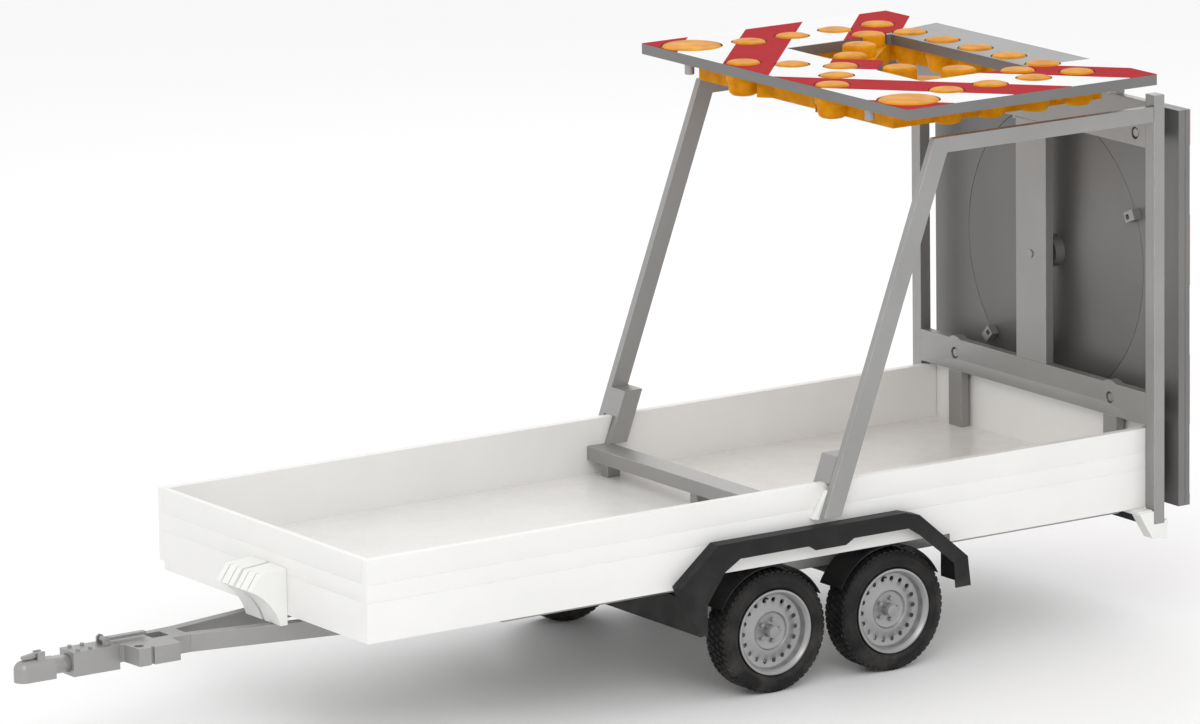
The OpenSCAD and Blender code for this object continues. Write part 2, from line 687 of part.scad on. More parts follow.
// White brackets: a foot under each post and a guide beside each strut
module wall_brackets() color(white) both_sides() {
    side_plate(post_y - post_w / 2, post_out) polygon([
        [post_x - 96, bed_low_z - 8], [post_x - 60, bed_low_z - 70], [post_x - 10, bed_low_z - 150],
        [post_x + post_d + 16, bed_low_z - 158], [post_x + post_d + 22, bed_low_z - 60],
        [post_x + post_d + 1, bed_low_z - 60], [post_x + post_d + 1, post_low - 1],
        [post_x - 1, post_low - 1], [post_x - 1, bed_low_z - 8]]);
    block(post_x - 96, half_w - 120, bed_low_z - 20, [90, 122 + post_w - 10, 19]);
    side_plate(half_w + 0.5, half_w + 34) polygon([
        [strut_foot - 34, strut_low - 6], [strut_foot - 4, strut_low - 12],
        [strut_at(bed_low_z + 480) - 6, bed_low_z + 380], [strut_at(bed_low_z + 480) - 34, bed_low_z + 380]]);
}

// Sign panel with a round opening for the disc, and a lip behind it
panel_z = bed_low_z + panel_low;
module panel_outline() translate([-panel_w / 2, panel_z]) square([panel_w, panel_h]);

module facing_rear(x, t) translate([x, 0, 0]) rotate([90, 0, 90]) linear_extrude(t) children();

// The panel's core is hollow outside the opening's rim; a groove parts its two sheets
panel_groove = 3;
module sign_panel() color(steel) difference() {
    facing_rear(panel_x, panel_t) panel_outline();
    rod_x(panel_x - 1, panel_x + panel_t + 1, 0, disc_z, disc_d + 6);
    facing_rear(panel_x + skin, panel_t - 2 * skin) difference() {
        translate([-panel_w / 2 + 12, panel_z + 12]) square([panel_w - 24, panel_h - 24]);
        translate([0, disc_z]) circle(d = disc_d + 36, $fn = 128);
    }
    facing_rear(panel_x + 40, panel_groove) difference() {
        translate([-panel_w, panel_z - panel_w]) square([2 * panel_w, 3 * panel_w]);
        translate([-panel_w / 2 + panel_groove, panel_z + panel_groove])
            square([panel_w - 2 * panel_groove, panel_h - 2 * panel_groove]);
    }
}

// Rear stripes slope down from the middle, as on the folded board
module sign_stripes() color(red) intersection() {
    facing_rear(panel_x + panel_t, stripe_t) difference() {
        panel_outline();
        translate([0, disc_z]) circle(d = disc_d + 6, $fn = 128);
    }
    facing_rear(panel_x + panel_t - 1, stripe_t + 2)
        translate([0, panel_z + panel_h]) mirror([0, 1]) chevrons(5);
}

// Turning disc: two faces on a rim, with a hub tube around the pivot
disc_boss_d = 170;
boss_out = 56;          // how far the boss stands out in front of the disc
module sign_disc() color("royalblue") difference() {
    union() {
        rod_x(panel_x, panel_x + panel_t, 0, disc_z, disc_d, $fn = 128);
        rod_x(panel_x - boss_out, panel_x + 1, 0, disc_z, disc_boss_d);
    }
    difference() {
        rod_x(panel_x + skin, panel_x + panel_t - skin, 0, disc_z, disc_d - 24, $fn = 128);
        rod_x(panel_x, panel_x + panel_t, 0, disc_z, 90);
    }
    rod_x(panel_x - boss_out - 1, panel_x + panel_t - 12, 0, disc_z, pivot_d + 2 * run_fit);
}

module disc_pivot() color("dimgray")
    rod_x(post_x - 6, panel_x + panel_t - 14, 0, disc_z, pivot_d);

// Keepers on the panel with a finger over the disc's edge
clip_as = [157, -45, 68, -112];
clip_h = 48;
module disc_clips() color(steel) for (a = clip_as)
    translate([panel_x - clip_h, 0, disc_z]) rotate([a, 0, 0])
        difference() {
            union() {
                translate([0, disc_d / 2 + 5, -28]) cube([clip_h, 36, 56]);
                translate([0, disc_d / 2 - 36, -28]) cube([clip_h - 1.5, 42, 56]);
            }
            translate([-1, disc_d / 2 - 24, -13]) cube([26, 26, 26]);
        }

// ---------- folding board ----------
// 2-D board drawings: first axis across the trailer, second from the front edge to the rear
module board_plan() {
    translate([-board_w / 2, 0]) square([board_w, board_l]);
}

window_half = lamp_edge - 271;
window_front = 505;
window_back = lamp_row - 106;
module window_plan() difference() {
    translate([-window_half, window_front])
        square([2 * window_half, window_back - window_front]);
    // a rounded tongue runs into it below the crossing lamp
    polygon([[-205, window_front - 1], [-30, 668], [30, 668], [205, window_front - 1]]);
    translate([0, 650]) circle(r = 34);
}

module lamp_holes(extra) {
    for (p = lamps) translate(p) circle(d = lamp_d + extra);
    for (p = big_lamps) translate(p) circle(d = big_lamp_d + extra);
}

// Red bands that rise outwards from the middle line, both halves mirrored
module chevrons(count) for (k = [0:count - 1], s = [-1, 1]) {
    a = stripe_first + stripe_pitch * (2 - 2 * k);
    b = a + stripe_pitch;
    run = 2600;
    scale([s, 1]) polygon([
        [max(0, a), max(0, -a) * stripe_rise], [max(0, b), max(0, -b) * stripe_rise],
        [b + run, run * stripe_rise], [a + run, run * stripe_rise]]);
}

// Puts a board drawing in place, t thick, with its lower face at height z
module on_board(z, t) translate([board_x, 0, z])
    mirror([1, -1, 0]) linear_extrude(t) children();

// The board is a folded sheet: its edges and the rims of its openings reach full depth
board_skin = 5;
rim = 12;
module board_panel() color(steel) difference() {
    on_board(board_low, board_t) difference() {
        board_plan();
        window_plan();
        lamp_holes(2 * lens_gap);
    }
    on_board(board_low - 1, board_t - board_skin + 1) difference() {
        translate([-board_w / 2 + rim, rim]) square([board_w - 2 * rim, board_l - 2 * rim]);
        translate([-window_half - rim, window_front - rim])
            square([2 * (window_half + rim), window_back - window_front + 2 * rim]);
        lamp_holes(2 * lens_gap + 2 * rim);
    }
}

bare_half = window_half + 30;        // the bare strip behind the window has no sheeting
module sheet_area() difference() {
    board_plan();
    window_plan();
    lamp_holes(2 * lens_gap);
    polygon([[-window_half, window_back - 70], [window_half, window_back - 70],
        [bare_half, window_back - 14], [bare_half + 90, board_l + 1],
        [-bare_half, board_l + 1]]);
}

module board_white_sheet() color("white") on_board(board_top, sheet_t) difference() {
    sheet_area();
    chevrons(4);
}

module board_red_stripes() color(red) on_board(board_top, sheet_t) intersection() {
    sheet_area();
    chevrons(4);
}

// The tray is a ring under the outer lamps with crossed arms under the inner ones
module tray_plan(t) {
    difference() {
        translate([t - tray_w / 2, tray_front + t])
            square([tray_w - 2 * t, tray_back - tray_front - 2 * t]);
        translate([tray_band - t - tray_w / 2, tray_front + tray_band - t])
            square([tray_w - 2 * tray_band + 2 * t, tray_back - tray_front - 2 * tray_band + 2 * t]);
    }
    for (s = [-1, 1], run = [[[0, diag_top], [lamp_edge, lamp_row]], [[0, diag_top], diag_up[1]]])
        scale([s, 1]) tray_arm(run[0], run[1], t);
}

module tray_arm(p, q, t) {
    d = q - p;
    translate(p) rotate(atan2(d[1], d[0]))
        translate([0, t - tray_arm_w / 2]) square([norm(d) - tray_arm_w / 2, tray_arm_w - 2 * t]);
}

module lens_tray() color(amber) difference() {
    on_board(board_low - tray_h, tray_h) tray_plan(0);
    on_board(board_low - tray_h + skin, tray_h - 2 * skin) tray_plan(skin);
}

// Lenses are cups turned over on the tray
lens_wall = 4;
module lens_cups(places, d) difference() {
    on_board(board_low, board_t + lens_rise) for (p = places) translate(p) circle(d = d);
    on_board(board_low - 1, board_t + lens_rise - lens_wall + 1)
        for (p = places) translate(p) circle(d = d - 2 * lens_wall);
}

module small_lenses() color(amber) lens_cups(lamps, lamp_d);

module large_lenses() color(amber) lens_cups(big_lamps, big_lamp_d);

lug_t = 22;
module board_hinge_lugs() color(steel) for (y = hinge_ys, s = [-1, 1])
    difference() {
        side_plate(y + s * 40 - lug_t / 2, y + s * 40 + lug_t / 2) {
            translate([hinge_x, hinge_z]) circle(r = 34);
            translate([board_back - 100, hinge_z]) square([100 + hinge_x - board_back, board_low - hinge_z]);
        }
        rod_y(hinge_x, y - 80, y + 80, hinge_z, hinge_d + 2 * run_fit);
    }

// Lugs on the cross-member; a ledge in front carries the board when it is down
module frame_hinge_lugs() color(steel) for (y = hinge_ys) {
    difference() {
        side_plate(y - 26, y + 26) {
            translate([hinge_x, hinge_z]) circle(r = 30);
            translate([hinge_x - 28, upper_low + upper_h])
                square([56, hinge_z - upper_low - upper_h]);
        }
        rod_y(hinge_x, y - 80, y + 80, hinge_z, hinge_d);
    }
    block(hinge_x - 110, y - 54, hinge_z - 31, [73, 108, 30.7]);
    block(hinge_x - 40, y - 26, hinge_z - 31, [14, 52, 30]);
}

module hinge_pins() color("silver") for (y = hinge_ys)
    rod_y(hinge_x, y - 62, y + 62, hinge_z, hinge_d);

module board_pegs() color(steel) for (s = [-1, 1])
    translate([board_x + 40, s * (board_w / 2 - 375), board_low - 56]) cylinder(d = 50, h = 56);

module tail_lamps() color(black) both_sides()
    block(tail_x - 24, half_w - 420, bed_low_z - 112, [48, 300, 111]);

base_rails();
floor_panel();
front_wall();
left_wall();
right_wall();
tailgate();
chassis_beams();
chassis_crossmembers();
drawbar_arms();
drawbar_plate();
overrun_housing();
axle_beams();
swing_arms();
mudguards();
chock_holder();
cross_bar();
hook_frames();
support_arms();
posts();
frame_legs();
lower_crossmember();
upper_crossmember();
centre_member();
frame_bolts();
spacer_bosses();
wall_brackets();
sign_panel();
sign_stripes();
frame_hinge_lugs();
hinge_pins();
tail_lamps();
disc_pivot();
disc_clips();
overrun_shaft();
coupling_head();
coupling_handle();
handbrake_lever();
left_chock();
right_chock();
board_panel();
board_white_sheet();
board_red_stripes();
lens_tray();
small_lenses();
large_lenses();
board_hinge_lugs();
board_pegs();
sign_disc();
left_front_tyre();
left_front_rim();
left_front_hub();
right_front_tyre();
right_front_rim();
right_front_hub();
left_rear_tyre();
left_rear_rim();
left_rear_hub();
right_rear_tyre();
right_rear_rim();
right_rear_hub();
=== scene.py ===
import bpy
import bmesh
import json
import math
from mathutils import Matrix, Vector


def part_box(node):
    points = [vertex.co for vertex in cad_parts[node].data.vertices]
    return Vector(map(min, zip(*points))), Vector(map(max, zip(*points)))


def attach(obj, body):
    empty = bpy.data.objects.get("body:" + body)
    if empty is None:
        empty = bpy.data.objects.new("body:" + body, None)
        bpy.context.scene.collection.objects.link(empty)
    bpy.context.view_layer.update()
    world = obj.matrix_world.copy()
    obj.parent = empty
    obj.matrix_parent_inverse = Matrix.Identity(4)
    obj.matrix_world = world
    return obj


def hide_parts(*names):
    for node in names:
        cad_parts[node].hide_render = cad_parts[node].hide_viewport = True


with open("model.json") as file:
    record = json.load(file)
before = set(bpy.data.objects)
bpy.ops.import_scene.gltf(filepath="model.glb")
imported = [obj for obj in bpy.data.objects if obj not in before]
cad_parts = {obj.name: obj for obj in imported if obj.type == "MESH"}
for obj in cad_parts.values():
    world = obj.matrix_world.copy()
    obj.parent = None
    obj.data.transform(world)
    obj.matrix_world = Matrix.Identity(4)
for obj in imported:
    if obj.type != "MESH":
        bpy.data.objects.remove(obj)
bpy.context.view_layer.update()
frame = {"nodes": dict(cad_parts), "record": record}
nodes = frame["nodes"]
record = frame["record"]
bodyOf = {n: body for body, names in record["behaviour"]["bodies"].items() for n in names}
slotOf = {row["node"]: row["material_slot"] for row in record["subparts"]}
made = set()  # CAD nodes that a finished piece already stands for
print("frame loaded:", len(nodes), "nodes")


# ---- camera, light and floor ----
viewSet = {
    "place": (-22.724, -34.413, 10.675),
    "azimuth": -33.724,
    "elevation": 12.424,
    "roll": -0.825,
    "lens": 253.85,  # mm on a 36 mm sensor
}


def makeCamera(v):
    a, e, roll = (math.radians(v[k]) for k in ("azimuth", "elevation", "roll"))
    back = Vector((math.sin(a) * math.cos(e), -math.cos(a) * math.cos(e), math.sin(e)))
    right = (-back).cross(Vector((0, 0, 1))).normalized()
    up = right.cross(-back)
    tiltedRight = right * math.cos(roll) + up * math.sin(roll)
    tiltedUp = up * math.cos(roll) - right * math.sin(roll)
    camera = bpy.data.objects.new("camera", bpy.data.cameras.new("camera"))
    bpy.context.scene.collection.objects.link(camera)
    turn = Matrix((tiltedRight, tiltedUp, back)).transposed().to_4x4()
    camera.matrix_world = Matrix.Translation(Vector(v["place"])) @ turn
    camera.data.sensor_width = 36
    camera.data.lens = v["lens"]
    camera.data.clip_end = 300
    bpy.context.scene.camera = camera


studioSet = {
    "worldStrength": 1.0,
    "lights": [  # name, place, aim, size, power
        ("keyLight", (-7, -12, 11), (0.5, 0, 1.2), 7.0, 520),
        ("fillLight", (-13, 3, 6), (0, 0, 1.0), 6.0, 60),
        ("backLight", (8, 9, 9), (1.5, 0, 1.4), 6.0, 160),
    ],
    "floorSize": 120,
}


def makeStudio(v):
    world = bpy.data.worlds.new("studio")
    world.use_nodes = True
    sky = world.node_tree.nodes["Background"]
    sky.inputs["Color"].default_value = (1, 1, 1, 1)
    sky.inputs["Strength"].default_value = v["worldStrength"]
    bpy.context.scene.world = world
    bpy.context.scene.view_settings.view_transform = "Standard"
    for name, place, aim, size, power in v["lights"]:
        lamp = bpy.data.lights.new(name, "AREA")
        lamp.size = size
        lamp.energy = power
        light = bpy.data.objects.new(name, lamp)
        light.location = place
        light.rotation_euler = (Vector(aim) - Vector(place)).to_track_quat("-Z", "Y").to_euler()
        bpy.context.scene.collection.objects.link(light)


makeCamera(viewSet)
makeStudio(studioSet)
print("camera and light set")


# ---- shader maths ----
class Wire:  # one output socket that takes part in arithmetic
    def __init__(self, finish, socket):
        self.finish = finish
        self.socket = socket

    def calc(self, operation, *values):
        return self.finish.node("Math", {"operation": operation}, dict(enumerate(values)))

    def __add__(self, other):
        return self.calc("ADD", self, other)

    def __sub__(self, other):
        return self.calc("SUBTRACT", self, other)

    def __rsub__(self, other):
        return self.calc("SUBTRACT", other, self)

    def __mul__(self, other):
        return self.calc("MULTIPLY", self, other)

    __radd__ = __add__
    __rmul__ = __mul__


class Finish:  # a material and the nodes that make it
    def __init__(self, name):
        self.material = bpy.data.materials.new(name)
        self.material.use_nodes = True
        self.tree = self.material.node_tree
        self.tree.nodes.clear()

    def node(self, kind, settings=None, inputs=None, output=0):
        made = self.tree.nodes.new("ShaderNode" + kind)
        for name, value in (settings or {}).items():
            if name == "stops":
                ramp = made.color_ramp.elements
                while len(ramp) < len(value):
                    ramp.new(1.0)
                for stop, (place, shade) in zip(ramp, value):
                    stop.position = place
                    stop.color = (shade, shade, shade, 1)
            else:
                setattr(made, name, value)
        for name, value in (inputs or {}).items():
            socket = made.inputs[name]
            if isinstance(value, Wire):
                self.tree.links.new(value.socket, socket)
            else:
                socket.default_value = value
        return Wire(self, made.outputs[output]) if len(made.outputs) else None

    def place(self):
        return self.node("TexCoord", output="Object")

    def axis(self, name):
        return self.node("SeparateXYZ", inputs={0: self.place()}, output=name)

    def noise(self, scale, detail=3.0, stretch=(1, 1, 1)):
        where = self.node("Mapping", inputs={"Vector": self.place(), "Scale": stretch})
        return self.node("TexNoise", inputs={"Vector": where, "Scale": scale, "Detail": detail})

    def ramp(self, value, *stops):
        return self.node("ValToRGB", {"stops": stops}, {0: value})

    def blend(self, factor, first, second):
        return self.node("Mix", {"data_type": "RGBA"}, {0: factor, 6: first, 7: second}, output=2)

    def bump(self, height, strength, distance):
        inputs = {"Height": height, "Strength": strength, "Distance": distance}
        return self.node("Bump", inputs=inputs)

    def surface(self, inputs):
        shader = self.node("BsdfPrincipled", inputs=inputs)
        self.node("OutputMaterial", inputs={"Surface": shader})
        return self.material


def colour(r, g, b):
    return (r, g, b, 1.0)


dustColour = colour(0.36, 0.32, 0.27)


# Painted or moulded skin: soft colour drift, fine grain, grime low down, rubbed edges
def skinFinish(name, v):
    f = Finish(name)
    drift = f.ramp(f.noise(v.get("driftScale", 1.6)), (0.35, 0.0), (0.68, 1.0))
    grain = f.noise(v.get("grainScale", 260.0), 2.0)
    tone = f.blend(drift * v.get("drift", 0.6), v["colour"], v["shade"])
    low = f.ramp(f.axis("Z"), (0.0, 1.0), (v.get("dustHeight", 0.9), 0.0))
    dust = low * f.ramp(f.noise(7.0, 6.0), (0.42, 0.0), (0.7, 1.0)) * v.get("dust", 0.12)
    tone = f.blend(dust, tone, dustColour)
    worn = f.node("Attribute", {"attribute_name": "wear"}, output="Fac")
    rubbed = worn * f.ramp(f.noise(16.0, 4.0), (0.4, 0.15), (0.62, 1.0)) * v.get("wear", 0.3)
    tone = f.blend(rubbed, tone, v.get("bare", v["colour"]))
    rough = v["rough"] + (grain - 0.5) * v.get("roughGrain", 0.12) + dust * 0.6
    inputs = {
        "Base Color": tone,
        "Roughness": rough,
        "Metallic": v.get("metal", 0.0),
        "Specular IOR Level": v.get("specular", 0.5),
        "Coat Weight": v.get("coat", 0.0),
        "Coat Roughness": v.get("coatRough", 0.2),
        "Normal": f.bump(grain + drift * 0.6, v.get("bump", 0.2), v.get("bumpDepth", 0.0006)),
    }
    return f.surface(inputs)


# Retroreflective sheeting: small closed cells under a clear face
def filmFinish(name, v):
    f = Finish(name)
    cells = f.node("TexVoronoi", {"feature": "DISTANCE_TO_EDGE"},
                   {"Vector": f.place(), "Scale": v["cellScale"]}, output="Distance")
    seam = f.ramp(cells, (0.0, 1.0), (0.06, 0.0))
    drift = f.ramp(f.noise(2.2), (0.3, 0.0), (0.7, 1.0))
    tone = f.blend(drift * 0.5, v["colour"], v["shade"])
    tone = f.blend(seam * 0.35, tone, v["seam"])
    streak = f.ramp(f.noise(3.0, 5.0, (1, 6, 1)), (0.55, 0.0), (0.8, 1.0))
    tone = f.blend(streak * 0.10, tone, colour(0.4, 0.37, 0.33))
    return f.surface({
        "Base Color": tone,
        "Roughness": 0.46 + seam * 0.2 + streak * 0.2,
        "Specular IOR Level": 0.1,
        "IOR": 1.12,
        "Normal": f.bump(cells, 0.12, 0.0004),
    })


# Translucent moulded lens, with a weak painted glow of its own that stands in for light shining through the
# plastic
def lensFinish(name, v):
    f = Finish(name)
    cloud = f.ramp(f.noise(13.0, 3.0), (0.35, 0.0), (0.7, 1.0))
    tone = f.blend(cloud, v["colour"], v["shade"])
    grain = f.noise(120.0, 2.0)
    return f.surface({
        "Base Color": tone,
        "Roughness": v["rough"] + (grain - 0.5) * 0.12,
        "Transmission Weight": v["clear"],
        "IOR": 1.2,
        "Specular IOR Level": 0.15,
        # painted glow: the unlit lens is given a little amber light of its own
        "Emission Color": v["glow"],
        "Emission Strength": 1.0,
        "Subsurface Weight": v["milky"],
        "Subsurface Radius": (0.06, 0.03, 0.01),
        "Normal": f.bump(grain, 0.15, 0.0004),
    })


# A sheet that is bare in front, with sheeting on its rear face
def facedFinish(name, v):
    f = Finish(name)
    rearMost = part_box(v["node"])[1].x
    rear = f.node("Math", {"operation": "GREATER_THAN"}, {0: f.axis("X"), 1: rearMost - 0.0015})
    drift = f.ramp(f.noise(1.4), (0.35, 0.0), (0.7, 1.0))
    grain = f.noise(260.0, 2.0)
    sheet = f.blend(drift * 0.6, v["bare"], v["bareShade"])
    worn = f.node("Attribute", {"attribute_name": "wear"}, output="Fac")
    sheet = f.blend(worn * f.ramp(f.noise(16.0, 4.0), (0.4, 0.15), (0.62, 1.0)) * 0.5, sheet, v["rubbed"])
    faced = f.blend(drift * 0.5, v["colour"], v["shade"])
    return f.surface({
        "Base Color": f.blend(rear, sheet, faced),
        "Metallic": (1 - rear) * v["metal"],
        "Roughness": 0.42 + (grain - 0.5) * 0.14,
        "Normal": f.bump(grain + drift * 0.5, 0.18, 0.0006),
    })


finishSet = {
    "bed_paint": {"colour": colour(0.83, 0.825, 0.81), "shade": colour(0.78, 0.775, 0.76), "rough": 0.36,
                  "coat": 0.25, "dust": 0.10, "wear": 0.25, "bare": colour(0.70, 0.69, 0.67)},
    "bed_floor": {"colour": colour(0.80, 0.795, 0.78), "shade": colour(0.73, 0.725, 0.71), "rough": 0.28,
                  "coat": 0.35, "dustHeight": 1.2, "dust": 0.12, "driftScale": 2.4},
    "frame_paint": {"colour": colour(0.35, 0.347, 0.342), "shade": colour(0.29, 0.287, 0.283), "rough": 0.40,
                    "metal": 0.62, "wear": 0.55, "bare": colour(0.46, 0.46, 0.455), "grainScale": 120.0,
                    "roughGrain": 0.25, "bump": 0.4, "bumpDepth": 0.0009},
    "axle_paint": {"colour": colour(0.022, 0.022, 0.024), "shade": colour(0.035, 0.034, 0.033), "rough": 0.48,
                   "dust": 0.3, "wear": 0.3, "bare": colour(0.12, 0.12, 0.12)},
    "black_plastic": {"colour": colour(0.009, 0.009, 0.010), "shade": colour(0.015, 0.015, 0.0155),
                      "rough": 0.45, "specular": 0.22, "dust": 0.12, "wear": 0.35,
                      "bare": colour(0.05, 0.05, 0.05), "bump": 0.3},
    "white_plastic": {"colour": colour(0.86, 0.86, 0.84), "shade": colour(0.78, 0.78, 0.76), "rough": 0.40,
                      "dust": 0.12, "wear": 0.2, "bare": colour(0.72, 0.71, 0.69)},
    "bolt_steel": {"colour": colour(0.36, 0.36, 0.355), "shade": colour(0.28, 0.275, 0.265), "rough": 0.34,
                   "metal": 0.9, "wear": 0.5, "bare": colour(0.7, 0.7, 0.7)},
    "lamp_red": {"colour": colour(0.42, 0.015, 0.015), "shade": colour(0.30, 0.01, 0.01), "rough": 0.18,
                 "coat": 0.6, "dust": 0.1},
    "tyre": {"colour": colour(0.010, 0.010, 0.011), "shade": colour(0.016, 0.0155, 0.015), "rough": 0.62,
             "specular": 0.22, "dust": 0.16, "dustHeight": 0.7, "bump": 0.45, "bumpDepth": 0.001},
    "rim_paint": {"colour": colour(0.38, 0.38, 0.385), "shade": colour(0.30, 0.30, 0.30), "rough": 0.36,
                  "metal": 0.7, "dust": 0.12, "wear": 0.3, "bare": colour(0.66, 0.66, 0.66)},
    "hub_steel": {"colour": colour(0.36, 0.36, 0.36), "shade": colour(0.28, 0.275, 0.27), "rough": 0.38,
                  "metal": 0.75, "dust": 0.1},
}
filmSet = {
    "red_film": {"colour": colour(0.43, 0.014, 0.022), "shade": colour(0.37, 0.011, 0.017),
                 "seam": colour(0.46, 0.03, 0.04), "cellScale": 60.0},
    "white_film": {"colour": colour(0.86, 0.86, 0.86), "shade": colour(0.80, 0.80, 0.80),
                   "seam": colour(0.68, 0.68, 0.68), "cellScale": 60.0},
}
# the glow entry is a painted glow on unlit lenses, not a lit lamp
lensSet = {"colour": colour(0.66, 0.28, 0.008), "shade": colour(0.48, 0.165, 0.004), "rough": 0.38,
           "clear": 0.14, "milky": 0.25, "glow": colour(0.10, 0.042, 0.0)}
bareSheet = {"bare": colour(0.205, 0.203, 0.20), "bareShade": colour(0.165, 0.163, 0.162), "metal": 0.55,
             "rubbed": colour(0.36, 0.36, 0.355)}
facedSet = {
    "disc_sheet": {**bareSheet, "node": "sign_disc", "colour": colour(0.012, 0.085, 0.36),
                   "shade": colour(0.01, 0.07, 0.30)},
    "panel_sheet": {**bareSheet, "node": "sign_panel", "colour": colour(0.84, 0.84, 0.84),
                    "shade": colour(0.78, 0.78, 0.78)},
}

finishes = {name: skinFinish(name, v) for name, v in finishSet.items()}
finishes.update({name: filmFinish(name, v) for name, v in filmSet.items()})
finishes["amber_plastic"] = lensFinish("amber_plastic", lensSet)
finishes.update({name: facedFinish(name, v) for name, v in facedSet.items()})
print("finishes made:", len(finishes))

floorMesh = bpy.data.meshes.new("floor")
half = studioSet["floorSize"]
floorCorners = [(-half, -half, 0), (half, -half, 0), (half, half, 0), (-half, half, 0)]
floorMesh.from_pydata(floorCorners, [], [(0, 1, 2, 3)])
floor = bpy.data.objects.new("floor", floorMesh)
bpy.context.scene.collection.objects.link(floor)
paper = Finish("floorPaper")
floorMesh.materials.append(paper.surface({"Base Color": colour(0.93, 0.93, 0.93), "Roughness": 0.55}))


# ---- making pieces ----
def camel(name):
    first, *rest = name.split("_")
    return first + "".join(word.capitalize() for word in rest)


def addPiece(name, mesh, body, slotName, replaced=()):
    piece = bpy.data.objects.new(name, mesh)
    bpy.context.scene.collection.objects.link(piece)
    mesh.materials.clear()
    mesh.materials.append(finishes[slotName])
    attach(piece, body)
    if replaced:
        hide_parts(*replaced)
        made.update(replaced)
    return piece


def closeMesh(bm, name, sharpAngle=18):
    mesh = bpy.data.meshes.new(name)
    bm.to_mesh(mesh)
    bm.free()
    mesh.shade_smooth()
    mesh.set_sharp_from_angle(angle=math.radians(sharpAngle))
    return mesh


def islands(bm):
    left = set(bm.verts)
    while left:
        group, todo = set(), [left.pop()]
        while todo:
            v = todo.pop()
            group.add(v)
            for e in v.link_edges:
                w = e.other_vert(v)
                if w in left:
                    left.discard(w)
                    todo.append(w)
        yield group


def islandVolume(group):
    faces = {f for v in group for f in v.link_faces}
    total = 0.0
    for f in faces:
        first = f.verts[0].co
        for a, b in zip(f.verts[1:], f.verts[2:]):
            total += first.dot(a.co.cross(b.co)) / 6
    return total


def cadCopy(node):
    bm = bmesh.new()
    bm.from_mesh(nodes[node].data)
    bmesh.ops.remove_doubles(bm, verts=bm.verts, dist=1e-5)
    inner = [v for group in list(islands(bm)) if islandVolume(group) < 0 for v in group]
    bmesh.ops.delete(bm, geom=inner, context="VERTS")
    return bm


def flatArea(bm):
    return sum(f.calc_area() for f in bm.faces)


bevelSet = {"least": 0.0004, "flat": 1, "sharp": 32, "growth": 1.0002}  # metres, degrees, share of area


# A CAD piece with its closed hollows left out, its flats joined and its edges broken
def brokenEdges(node, width, segments=2):
    flat, sharpAngle = math.radians(bevelSet["flat"]), math.radians(bevelSet["sharp"])
    while width > bevelSet["least"]:
        bm = cadCopy(node)
        wear = bm.faces.layers.float.new("wear")
        bmesh.ops.dissolve_limit(bm, angle_limit=flat, verts=bm.verts, edges=bm.edges)
        before = flatArea(bm)
        sharp = [e for e in bm.edges if len(e.link_faces) == 2 and e.calc_face_angle() > sharpAngle]
        cut = bmesh.ops.bevel(bm, geom=sharp, offset=width, offset_type="OFFSET", segments=segments,
                              profile=0.5, affect="EDGES", clamp_overlap=True)
        for f in cut["faces"]:
            f[wear] = 1.0
        bmesh.ops.triangulate(bm, faces=[f for f in bm.faces if len(f.verts) > 4])
        if flatArea(bm) <= before * bevelSet["growth"]:  # a folded cut would add area
            return closeMesh(bm, camel(node))
        bm.free()
        width /= 2
    print("edges kept sharp:", node)
    return closeMesh(cadCopy(node), camel(node))


edgeSet = {  # radius of the broken edges, in metres
    "default": 0.003,
    "thin": 0.0006,
    "fine": 0.0015,
    "thinNodes": ["sign_stripes"],
    "sharpNodes": ["board_white_sheet", "board_red_stripes"],
    "fineNodes": ["frame_bolts", "disc_clips", "coupling_handle", "handbrake_lever", "hinge_pins",
                  "disc_pivot", "chock_holder", "sign_disc", "floor_panel"],
}


def finishNode(node):
    width = 0 if node in edgeSet["sharpNodes"] else edgeSet["default"]
    if node in edgeSet["thinNodes"]:
        width = edgeSet["thin"]
    elif node in edgeSet["fineNodes"] or node.endswith(("_rim", "_hub")):
        width = edgeSet["fine"]
    addPiece(camel(node), brokenEdges(node, width), bodyOf[node], slotOf[node], [node])


# ---- geometry node trees ----
def newTree(name, sizes):
    tree = bpy.data.node_groups.new(name, "GeometryNodeTree")
    tree.interface.new_socket("Geometry", in_out="INPUT", socket_type="NodeSocketGeometry")
    for label, kind in sizes:
        tree.interface.new_socket(label, in_out="INPUT", socket_type="NodeSocket" + kind)
    tree.interface.new_socket("Geometry", in_out="OUTPUT", socket_type="NodeSocketGeometry")
    return tree, tree.nodes.new("NodeGroupInput"), tree.nodes.new("NodeGroupOutput")


def treeNode(tree, kind, settings=None, inputs=None):
    made = tree.nodes.new(kind)
    for name, value in (settings or {}).items():
        setattr(made, name, value)
    for name, value in (inputs or {}).items():
        if isinstance(value, bpy.types.NodeSocket):
            tree.links.new(value, made.inputs[name])
        else:
            made.inputs[name].default_value = value
    return made


# Turns a tree on a carrier mesh into one plain mesh
def grow(tree, carrier, values):
    holder = bpy.data.objects.new("carrier", carrier)
    bpy.context.scene.collection.objects.link(holder)
    modifier = holder.modifiers.new("grow", "NODES")
    modifier.node_group = tree
    for item in tree.interface.items_tree:
        if item.in_out == "INPUT" and item.name in values:
            modifier[item.identifier] = values[item.name]
    bpy.context.view_layer.update()
    view = bpy.context.evaluated_depsgraph_get()
    mesh = bpy.data.meshes.new_from_object(holder.evaluated_get(view), depsgraph=view)
    bpy.data.objects.remove(holder)
    return mesh


